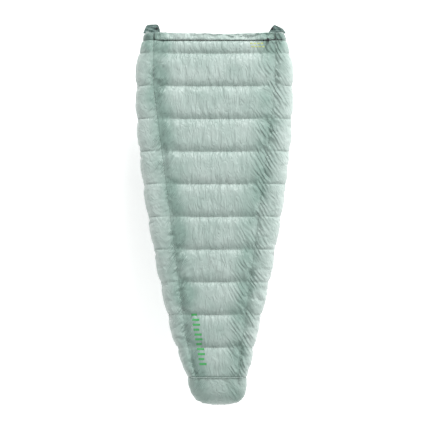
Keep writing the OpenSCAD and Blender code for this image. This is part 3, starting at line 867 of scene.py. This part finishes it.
def folds(seed, x, y, angle, length, pitch):
    """Sharp ridges that run at an angle from the x axis, between -0.5 and 0.5."""
    along = x * math.cos(angle) + y * math.sin(angle)
    across = y * math.cos(angle) - x * math.sin(angle)
    bend = value_noise(seed + 7, along / length, across / length)
    noise = value_noise(seed, along / length, across / pitch + 1.5 * bend)
    return 0.5 - np.abs(2 * noise - 1) ** 0.8


def places_on(sheet):
    """For each point of a sheet: its x, its y, and how far outside the long seam of its side it is."""
    x = sheet.grid[:, :, 0]
    seam = np.array([long_seam(y) for y in sheet.grid[:, 0, 1]])[:, None]
    off = np.abs(x) - seam
    return x, sheet.grid[:, :, 1], off


def crease_top(sheet, seam_rows):
    """Upright creases over the middle, slanting ones beside the long seams, and a fan below the cord lock."""
    x, y, off = places_on(sheet)
    beside = np.exp(-((off + 0.010) / 0.065) ** 2)
    patch_noise = value_noise(5, x / 0.09, y / 0.07)
    clusters = np.clip((patch_noise - 0.25) * 2.2, 0.15, 1)
    middle = folds(201, x, y, math.radians(88), 0.080, 0.026)
    slants = np.where(x < 0, 0.0125 * folds(202, x, y, math.radians(48), 0.060, 0.024),
                      0.0165 * folds(203, x, y, math.radians(118), 0.060, 0.024))
    outside = folds(204, x, y, math.radians(20), 0.060, 0.028)
    height = np.where(off < 0, 0.0046 * middle, 0.0034 * outside) * (1 - beside)
    height = height + slants * beside * clusters
    lock_low, lock_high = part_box("cord_lock_barrel")
    reach_x = x - (lock_low.x + lock_high.x) / 2
    reach_y = y - lock_low.y
    distance = np.hypot(reach_x, reach_y)
    turn = np.degrees(np.arctan2(reach_x, -reach_y))
    fan = np.exp(-((turn + 14) / 26) ** 2) * np.clip(distance / 0.03, 0, 1) * np.exp(-(distance / 0.14) ** 2)
    fan = fan * (reach_y < 0)
    height = height + 0.0055 * fan * np.sin(turn / 3.2 + 1.2 * patch_noise)
    fade_round = np.clip(sheet.grid[:, :, 2] / 0.06 - 0.2, 0.25, 1)
    sheet.crease(height * fade_round, seam_rows)
    sheet.slant = np.sign(x) * np.clip(beside * 1.3, 0, 1)


def flatten_crowns(sheet):
    """Eases the crowns so that they are broad on top and steep beside their seams."""
    rise = sheet.grid[:, :, 2] - SEAM_Z
    broad = 0.024 * np.tanh(rise / 0.019)
    sheet.grid[:, :, 2] = np.where(rise > 0, SEAM_Z + broad, sheet.grid[:, :, 2])


def paint_light_on_top(sheet):
    """Painted light: painted shade along the long seams and at the neck corners, in random patches, and a
    painted highlight over the full rims.
    """
    x, y, off = places_on(sheet)
    wide = np.array([half_width(v) for v in y[:, 0]])[:, None]
    patches = value_noise(6, x / 0.08, y / 0.10)
    beside = np.exp(-((off + 0.020) / 0.060) ** 2)
    rim = np.clip(off / np.maximum(wide - np.abs(x) + off, 0.05), 0, 1)
    corner = np.exp(-((NECK - y) / 0.08) ** 2) * np.clip((np.abs(x) - 0.20) / 0.06, 0, 1)
    # Painted shade beside the long seams and at the neck corners, painted highlight on the rims
    sheet.tone = 0.60 + 0.30 * rim ** 2 - 0.85 * beside * (0.30 + 0.70 * patches) - 0.75 * corner


def fill_collar(sheet):
    """Brings the collar's free edge out to the neck line, which dips a little in the middle."""
    back = sheet.grid[0, :, 1][None, :]
    x = sheet.grid[0, :, 0]
    wave = smooth_noise(91, sheet.columns, 6)
    target = NECK + 0.005 - 0.008 * (1 - (x / x.max()) ** 2) + 0.0012 * wave - back[0]
    depth = (sheet.grid[:, :, 1] - back).max(axis=0)
    share = np.minimum(1.0, (x.max() - np.abs(x)) / 0.02)
    longer = 1 + share * (target / np.maximum(depth, 0.01) - 1)
    sheet.grid[:, :, 1] = back + (sheet.grid[:, :, 1] - back) * longer
    height = 0.0040 * folds(92, sheet.grid[:, :, 0], sheet.grid[:, :, 1] * 2, math.radians(55), 0.05, 0.020)
    height[[0, -1]] = 0
    sheet.lift(height)
    # Painted shade: the collar darkens towards its ends at the neck corners
    sheet.tone = 0.62 - 0.75 * np.clip((np.abs(sheet.grid[:, :, 0]) - 0.19) / 0.12, 0, 1)


def crease_cap(sheet):
    """Gathers at the corners of the foot end panel and a few creases over it."""
    x = sheet.grid[:, :, 0]
    y = sheet.grid[:, :, 1]
    corner = np.exp(-((np.abs(x) - 0.095) / 0.045) ** 2)
    slants = np.where(x < 0, folds(211, x, y, math.radians(50), 0.07, 0.022),
                      folds(212, x, y, math.radians(125), 0.07, 0.022))
    upright = folds(213, x, y, math.radians(85), 0.06, 0.026)
    height = 0.0060 * slants * corner + 0.0020 * upright * (1 - corner)
    height = height * np.clip(sheet.grid[:, :, 2] / 0.03, 0, 1)
    height[[0, -1]] = 0
    sheet.lift(height)
    sheet.slant = np.sign(x) * corner
    # Painted shade in the gathered corners of the foot end panel
    sheet.tone = 0.50 - 0.35 * corner


def lean_foot(sheet):
    """Draws the foot end in and leans it a little to the right, as it lies on the floor."""
    share = eased(np.clip((-0.60 - sheet.grid[:, :, 1]) / 0.27, 0, 1))
    toe = np.clip((-0.86 - sheet.grid[:, :, 1]) / 0.12, 0, 1)
    sheet.grid[:, :, 0] *= 1 - 0.075 * share
    sheet.grid[:, :, 0] += 0.014 * share + 0.012 * toe


def raise_ridge(sheet, rows):
    """Lifts the seam over the foot end panel into a ridge."""
    for row in range(rows):
        middle = np.exp(-(sheet.grid[row, :, 0] / 0.115) ** 6) * (sheet.grid[row, :, 2] > 0.06)
        sheet.grid[row, :, 2] += 0.013 * (1 - row / rows) ** 1.5 * middle


def round_toe(sheet):
    """Draws the corners of the toe back, so that the foot ends in a round edge."""
    near = np.clip((FOOT + 0.05 - sheet.grid[:, :, 1]) / 0.05, 0, 1)
    sheet.grid[:, :, 1] += 0.014 * near * np.clip(np.abs(sheet.grid[:, :, 0]) / 0.100, 0, 1) ** 3


flatten_crowns(TOP)
TOP.soften((LEFT, RIGHT), TOP_ROWS, np.exp(-((places_on(TOP)[2] + 0.010) / 0.06) ** 2))
paint_light_on_top(TOP)
crease_top(TOP, TOP_ROWS)
fill_collar(COLLAR)
crease_cap(CAP)
raise_ridge(TOP, 7)
raise_ridge(CAP, 6)
round_toe(CAP)
for cloth_sheet in (TOP, LINING, UNDER_OUT, UNDER_IN, CAP):
    lean_foot(cloth_sheet)


# ---- Pieces of the root ----

SEAM_END = TOP_ROWS[-2]
SIDES = {"left": slice(0, LEFT + 1), "right": slice(RIGHT, None)}


def cloth_piece(name, sheet, material, *solids, **part):
    """Piece of the quilt's body, cut from a sheet, in place of the CAD solids that are named."""
    slot = "lining_fabric" if material is LINING_CLOTH else "shell_fabric"
    piece = cut_sheet(name, sheet, material, slot, "quilt", **part)
    if solids:
        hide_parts(*solids)


def upper_pieces():
    """The top shell, the foot end panel and the collar."""
    body_rows = slice(0, SEAM_END + 1)
    cloth_piece("shell_centre", TOP, CENTRE_CLOTH, "top_shell_centre", "down_centre", "cross_baffles_centre",
                "drawcord_channel", rows=body_rows, columns=slice(LEFT, RIGHT + 1))
    for side, columns in SIDES.items():
        cloth_piece(f"shell_side_{side}", TOP, SIDE_CLOTH, f"top_shell_{side}", f"down_{side}",
                    f"cross_baffles_{side}", f"long_baffle_{side}", rows=body_rows, columns=columns)
        # The neck corners of the top shell are cut in the painted shade cloth
        cloth_piece(f"neck_corner_{side}", TOP, PAINTED_SHADE_CORNER_CLOTH, rows=slice(SEAM_END, None), columns=columns)
    cloth_piece("foot_cap", CAP, UNDER_CLOTH, "foot_end_shell", "foot_end_down", "foot_end_lining")
    cloth_piece("neck_collar", COLLAR, CENTRE_CLOTH, "collar_shell", "collar_down")


def lower_pieces():
    """The linings, and the underside of the footbox."""
    left, right = LINING_COLUMNS[1:3]
    centre_rows = slice(0, LINING_ROWS[-2] + 1)
    cloth_piece("inner_lining_left", LINING, LINING_CLOTH, "lining_left", columns=slice(0, left + 1))
    cloth_piece("inner_lining_centre", LINING, LINING_CLOTH, "lining_centre", rows=centre_rows,
                columns=slice(left, right + 1))
    cloth_piece("inner_lining_right", LINING, LINING_CLOTH, "lining_right", columns=slice(right, None))
    cloth_piece("footbox_floor", UNDER_OUT, UNDER_CLOTH, "footbox_under_shell", "footbox_under_down",
                "footbox_under_baffles")
    cloth_piece("footbox_inner_floor", UNDER_IN, LINING_CLOTH, "footbox_under_lining")


def neck_ends():
    """Cloth that closes the head end of each rolled edge, between its shell and its lining."""
    layers = 6
    swell = 0.007 * np.sin(np.linspace(0, math.pi, SIDE_CELLS + 1))
    outer = spread(side_path(NECK, 0), SIDE_CELLS)
    inner = spread(inner_side_path(NECK, 0), SIDE_CELLS)
    for side, sign in (("left", -1), ("right", 1)):
        grid = np.zeros((layers + 1, SIDE_CELLS + 1, 3))
        for i in range(layers + 1):
            share = i / layers
            path = outer + (inner - outer) * share
            grid[i] = row_at(sign * path[:, 0], NECK + swell * math.sin(math.pi * share), path[:, 1])
        sheet = Sheet("neck_end", grid, [], [], side == "right", 0)
        # Painted shade: the neck ends take almost the deepest painted light tone
        sheet.tone[:] = 0.05
        cloth_piece(f"neck_end_{side}", sheet, PAINTED_SHADE_CORNER_CLOTH)


def foot_ridge():
    """Piped seam over the foot end panel."""
    past_seam = 8
    path = TOP.grid[0, LEFT - past_seam:RIGHT + past_seam + 1] + [0, -0.001, 0.004]
    path[:, 2] += 0.0012 * smooth_noise(71, len(path), 5)
    swept_strip("foot_ridge", path, 0.0018, 0.0022, PIPING, "quilt")


def lock_spring():
    """Coil inside the cord lock, riding on it; it keeps its rest length and does not flatten when the button
    is pressed.
    """
    low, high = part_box("cord_lock_spring")
    middle = (low + high) / 2
    wire = 0.00033
    radius = (high.x - low.x) / 2 - wire
    steps = 90
    coils = 2.5
    turns = np.linspace(0, coils * 2 * math.pi, steps)
    path = np.column_stack([middle.x + radius * np.cos(turns), middle.y + radius * np.sin(turns),
                            np.linspace(low.z + wire, high.z - wire, steps)])
    coil = swept_strip("lock_spring", path, wire, wire, STEEL, "cord_lock")
    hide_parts("cord_lock_spring")
    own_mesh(coil)


def mouth_tape():
    low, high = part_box("mouth_binding")
    xs = np.linspace(low.x, high.x, 70)
    wobble = smooth_noise(72, len(xs), 4)
    path = np.column_stack([xs, np.full(len(xs), low.y + 0.002) + 0.0008 * wobble, 0.0165 + 0.0006 * wobble])
    tape = swept_strip("mouth_tape", path, 0.0018, 0.0045, TAPE, "quilt")
    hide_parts("mouth_binding")


# ---- Flaps and ears ----

EAR_INNER = 0.281


def hinge_span(sign):
    """Two points across the fold line: on it, and a bend's width inside it, square to it."""
    bend = 0.030
    a = Vector((sign * fold_line(MOUTH), MOUTH, 0))
    b = Vector((sign * fold_line(NECK), NECK, 0))
    along = (b - a).normalized()
    inward = Vector((-along.y, along.x, 0)) * (1 if sign > 0 else -1)
    return a, a + inward * bend


def bend_with_flap(piece, sign):
    start, end = hinge_span(sign)
    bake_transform(piece)


def flap_pieces(side, sign):
    outer = cut_sheet(f"flap_outside_{side}", FLAPS[sign, True], UNDER_CLOTH, "shell_fabric")
    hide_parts(f"flap_shell_{side}", f"flap_down_{side}", f"flap_baffles_{side}")
    bend_with_flap(outer, sign)
    inner = cut_sheet(f"flap_inside_{side}", FLAPS[sign, False], LINING_CLOTH, "lining_fabric")
    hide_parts(f"flap_lining_{side}")
    bend_with_flap(inner, sign)
    ys = np.linspace(FLAP_START, FLAP_END, 220)
    wobble = smooth_noise(80 + sign, len(ys), 3)
    path = np.column_stack([[sign * (free_edge(y) - 0.0012) for y in ys], ys, EDGE_Z + 0.0008 * wobble])
    tape = swept_strip(f"flap_tape_{side}", path, 0.0014, 0.0048, TAPE, f"{side}_flap")
    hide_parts(f"flap_binding_{side}")


def ear_edges(sign, v, base_y):
    """Inner and outer x of an ear at height v, and the y of its two ends there."""
    inner = EAR_INNER + (0.008 if sign < 0 else 0.022) * v ** 1.5
    reach_in = HEAD - 0.002 - base_y
    reach_out = reach_in - (0.004 if sign < 0 else 0.026)
    outer = half_width(base_y + v * reach_out) - 0.001
    return inner, outer, base_y + v * reach_in, base_y + v * reach_out


def ear_grid(sign, base_y, face):
    """One face of an ear: face is 1 for its upper side and -1 for its lower side."""
    columns = 30
    rows = 26
    grid = np.zeros((rows + 1, columns + 1, 3))
    for i in range(rows + 1):
        v = i / rows
        inner, outer, y_in, y_out = ear_edges(sign, v, base_y)
        for j in range(columns + 1):
            u = j / columns
            w = 2 * u - 1
            drawn_in = 0.5 + 0.5 * w * (1 - 0.07 * v ** 6)
            x = inner + (outer - inner) * drawn_in
            y = y_in + (y_out - y_in) * u - 0.006 * abs(w) ** 7 * v
            swell = (4 * u * (1 - u)) ** 0.5 * (1 - v ** 6) ** 0.5
            lift = 0.034 * u ** 1.6 * (1 - 0.5 * v)
            fold = 0.0030 * math.sin(11 * u + 6 * v + sign) + 0.0022 * math.sin(15 * v - 8 * u)
            z = 0.0308 + lift + face * 0.0016 * swell + fold * swell * min(1.0, u / 0.3)
            grid[i, j] = (sign * x, y, z)
    if face < 0:
        grid[:, :, 2] -= 0.0006
    return grid


def ear_piece(side, sign):
    """Rounded ear past the neck edge: the doubled end of a flap, hemmed round its edge."""
    base_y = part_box(f"ear_tab_{side}")[0].y - 0.016
    top = ear_grid(sign, base_y, 1)
    low = ear_grid(sign, base_y, -1)
    ear = closed_sheet(f"ear_{side}", top, low, sign < 0, LINING_CLOTH)
    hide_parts(f"ear_tab_{side}")
    bend_with_flap(ear, sign)
    hem = np.concatenate([top[:, 0], top[-1, 1:-1], top[::-1, -1]])
    tape = swept_strip(f"ear_hem_{side}", hem, 0.0020, 0.0018, DARK_TAPE)
    bend_with_flap(tape, sign)


# ---- Stitches and prints ----

def stitch_mesh(name, lines, material, body):
    """Small raised stitches along lines, each a list of points."""
    pitch = 0.0050
    half = 0.0017
    thick = 0.0005
    points = []
    faces = []
    for line in lines:
        line = np.asarray(line, float)
        length = np.r_[0, np.cumsum(np.linalg.norm(np.diff(line, axis=0), axis=1))]
        for at in np.arange(pitch, length[-1] - pitch, pitch):
            middle = np.array([np.interp(at, length, line[:, k]) for k in range(3)])
            ahead = np.array([np.interp(at + 0.001, length, line[:, k]) for k in range(3)])
            along = (ahead - middle) / max(np.linalg.norm(ahead - middle), 1e-9)
            across = np.cross(along, [0, 0, 1.0])
            across /= max(np.linalg.norm(across), 1e-9)
            up = np.cross(across, along)
            middle = middle + up * thick
            base = len(points)
            points += [middle - along * half, middle + along * half, middle + across * thick,
                       middle - across * thick, middle + up * thick, middle - up * thick]
            for a, b in ((2, 4), (4, 3), (3, 5), (5, 2)):
                faces += [[base + 1, base + a, base + b], [base, base + b, base + a]]
    return add_object(name, points, faces, material, body, smooth=False)


def top_stitches():
    fold_in = 12
    lines = [TOP.grid[row, fold_in:-fold_in] for row in TOP_ROWS[1:-1]]
    lines += [TOP.grid[:SEAM_END, column] for column in (LEFT, RIGHT)]
    stitch_mesh("top_stitches", lines, STITCH, "quilt")


PATCH_ROWS = 4
PATCH_COLUMNS = 9


def patch(normals, x0, x1, y0, y1, lift):
    """Small grid laid on the top shell between two corners."""
    ys = TOP.grid[:, TOP.columns // 2, 1]
    points = []
    for y in np.linspace(y0, y1, PATCH_ROWS):
        row = int(np.clip(np.searchsorted(ys, y), 1, TOP.rows - 1))
        share = (y - ys[row - 1]) / (ys[row] - ys[row - 1])
        line = TOP.grid[row - 1] + (TOP.grid[row] - TOP.grid[row - 1]) * share
        normal = normals[row - 1] + (normals[row] - normals[row - 1]) * share
        top = slice(LEFT - 10, RIGHT + 11)
        for x in np.linspace(x0, x1, PATCH_COLUMNS):
            place = [np.interp(x, line[top, 0], line[top, k]) for k in (1, 2)]
            out = [np.interp(x, line[top, 0], normal[top, k]) for k in range(3)]
            points.append(np.array([x, *place]) + np.array(out) * lift)
    return points


def print_bars(name, bars, material):
    """Plain bars laid just above the cloth, in place of the printed marks."""
    normals = TOP.normals()
    points = []
    faces = []
    for bar in bars:
        for lift, under in ((0.0009, False), (0.0002, True)):
            base = len(points)
            points += patch(normals, *bar, lift)
            faces += (grid_faces(PATCH_ROWS, PATCH_COLUMNS, under) + base).tolist()
    add_object(name, points, faces, material, "quilt")


def foot_print():
    """Eleven bars in a column that leans to the right towards the foot."""
    start = SEAMS[2] + 0.004
    pitch = 0.0250
    tall = 0.010
    slope = 0.165
    bars = []
    for k in range(11):
        x = -0.118 + k * pitch * slope
        y = start - k * pitch
        width = 0.036 if k % 3 else 0.028
        bars.append((x, x + width, y - tall, y))
    print_bars("foot_print", bars, GREEN_PRINT)


def neck_print():
    """Two rows of short bars below the collar."""
    wide = 0.013
    tall = 0.006
    bars = []
    for row in range(2):
        y = SEAMS[-1] - 0.013 - row * 0.017
        for k in range(4):
            x = 0.182 + k * 0.018 + row * 0.006
            bars.append((x, x + wide, y - tall, y))
    print_bars("neck_print", bars, LIME_PRINT)


upper_pieces()
lower_pieces()
neck_ends()
foot_ridge()
lock_spring()
mouth_tape()
for flap_side, flap_sign in (("left", -1), ("right", 1)):
    flap_pieces(flap_side, flap_sign)
    ear_piece(flap_side, flap_sign)
top_stitches()
foot_print()
neck_print()


# ---- Finishes of the CAD pieces ----

def finish_node(name, material):
    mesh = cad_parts[name].data
    mesh.materials.clear()
    mesh.materials.append(material)


FINISHES = {
    CORD: ["neck_drawcord", "pad_loops_left", "pad_loops_right"],
    BLACK: ["cord_lock_barrel", "cord_lock_button", "snap_cap_left", "snap_cap_right", "snap_stud_left",
            "snap_socket_right", "cord_eyelet"],
}
for finish, names in FINISHES.items():
    for node_name in names:
        finish_node(node_name, finish)


# ---- Stage ----

def add_floor():
    """Pale floor, far enough below the quilt for its flaps to hang clear."""
    size = 14.0
    corners = [(-size, -size), (size, -size), (size, size), (-size, size)]
    mesh = bpy.data.meshes.new("floor")
    mesh.from_pydata([(x, y, FLOOR_Z) for x, y in corners], [], [(0, 1, 2, 3)])
    paint = Paint("floor", (0.93, 0.93, 0.93), 0.9)
    set_inputs(paint.shader, {"Emission Color": (1, 1, 1, 1), "Emission Strength": 0.35})
    mesh.materials.append(paint.material)
    linked("floor", mesh)


def add_light(name, place, aim, size, power):
    light = bpy.data.lights.new(name, "AREA")
    light.size = size
    light.energy = power
    obj = linked(name, light)
    obj.location = place
    obj.rotation_euler = (Vector(aim) - Vector(place)).to_track_quat("-Z", "Y").to_euler()


def add_camera():
    """Straight down on the quilt with its neck up, from far away."""
    seen_width = 2.202
    focus_z = 0.09
    lens = 150
    sensor = 36
    camera = bpy.data.cameras.new("camera")
    camera.lens = lens
    camera.sensor_width = sensor
    camera.clip_end = 60
    obj = linked("camera", camera)
    obj.location = (0.0025, -0.003, seen_width * lens / sensor + focus_z)
    bpy.context.scene.camera = obj


def add_world():
    world = bpy.data.worlds.new("studio")
    world.use_nodes = True
    set_inputs(world.node_tree.nodes["Background"], {"Color": (1, 1, 1, 1), "Strength": 0.78})
    bpy.context.scene.world = world


add_floor()
add_world()
add_light("head_light", (1.2, 6.0, 3.4), (0, 0.1, 0), size=2.0, power=330)
add_light("side_light", (3.5, 0.3, 1.8), (0, 0.1, 0), size=1.2, power=48)
add_camera()
bpy.context.scene.view_settings.view_transform = "Standard"
